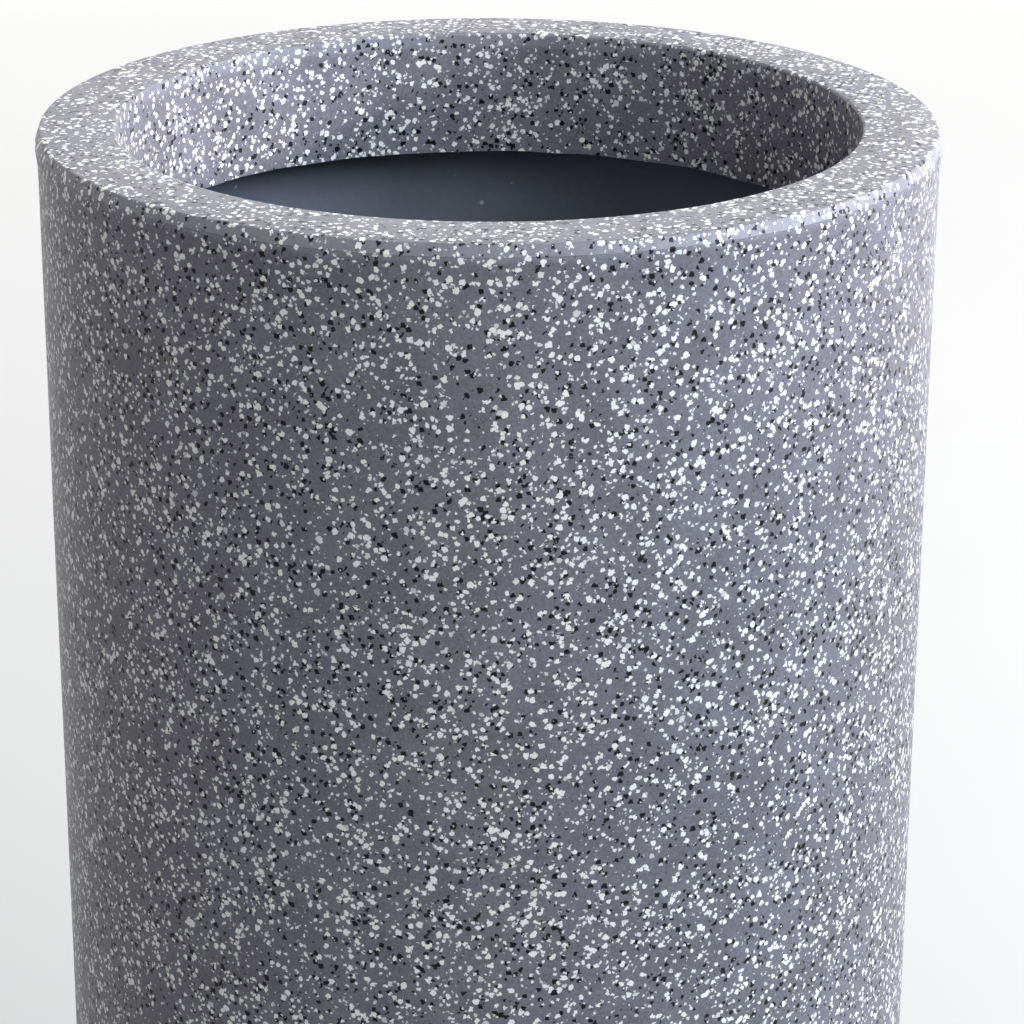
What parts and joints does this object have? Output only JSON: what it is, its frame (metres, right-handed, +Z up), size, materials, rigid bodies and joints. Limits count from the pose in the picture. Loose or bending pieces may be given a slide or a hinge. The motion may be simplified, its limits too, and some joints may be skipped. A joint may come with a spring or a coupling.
{
  "type": "tall cylindrical planter",
  "caption": "Tall round floor planter with a flat rim, a turned-in mouth lip and a lift-out planting pot that stands on a removable inner stand.",
  "frame": {"origin": "centre of the footprint, on the floor", "axes": "+Z up along the planter's axis, -Y towards the viewer in the picture, +X to the viewer's right"},
  "size_m": [0.4, 0.4, 0.8],
  "materials": {
    "granite_plastic": "satin rotomoulded polyethylene, blue-grey with white and black specks",
    "rubber": "matt black rubber",
    "steel": "stainless steel",
    "galvanised_wire": "dull galvanised wire",
    "brass": "turned brass",
    "plug_plastic": "moulded black plastic",
    "shelf_plastic": "moulded dark grey plastic",
    "leg_tube": "extruded grey plastic pipe",
    "pot_plastic": "moulded anthracite plastic, fine grain",
    "grip_plastic": "ribbed black plastic"
  },
  "bodies": {
    "shell": {"shell": "granite_plastic", "foot_pad_1": "rubber", "foot_pad_2": "rubber", "foot_pad_3": "rubber", "foot_pad_4": "rubber", "foot_screws": "steel", "foot_thread_inserts": "brass"},
    "drain_plug": {"drain_plug": "plug_plastic", "drain_seal": "rubber"},
    "stand": {"stand_shelf": "shelf_plastic", "stand_leg_1": "leg_tube", "stand_leg_2": "leg_tube", "stand_leg_3": "leg_tube", "stand_leg_4": "leg_tube", "stand_leg_cap_1": "rubber", "stand_leg_cap_2": "rubber", "stand_leg_cap_3": "rubber", "stand_leg_cap_4": "rubber"},
    "inner_pot": {"inner_pot": "pot_plastic", "handle_pins": "steel"},
    "handle_front": {"handle_front": "galvanised_wire", "handle_grip_front": "grip_plastic"},
    "handle_back": {"handle_back": "galvanised_wire", "handle_grip_back": "grip_plastic"}
  },
  "joints": [
    {"name": "drain_plug_pull", "type": "slide", "parent": "shell", "child": "drain_plug", "axis": [0, 0, -1], "range_m": [0, 0.03]},
    {"name": "stand_lift", "type": "slide", "parent": "shell", "child": "stand", "axis": [0, 0, 1], "range_m": [0, 0.79]},
    {"name": "pot_lift", "type": "slide", "parent": "stand", "child": "inner_pot", "axis": [0, 0, 1], "range_m": [0, 0.44]},
    {"name": "handle_front_swing", "type": "hinge", "parent": "inner_pot", "child": "handle_front", "pos_m": [0, -0.014, 0.6944], "axis": [-1, 0, 0], "range_deg": [0, 85]},
    {"name": "handle_back_swing", "type": "hinge", "parent": "inner_pot", "child": "handle_back", "pos_m": [0, 0.014, 0.6944], "axis": [1, 0, 0], "range_deg": [0, 85]}
  ]
}
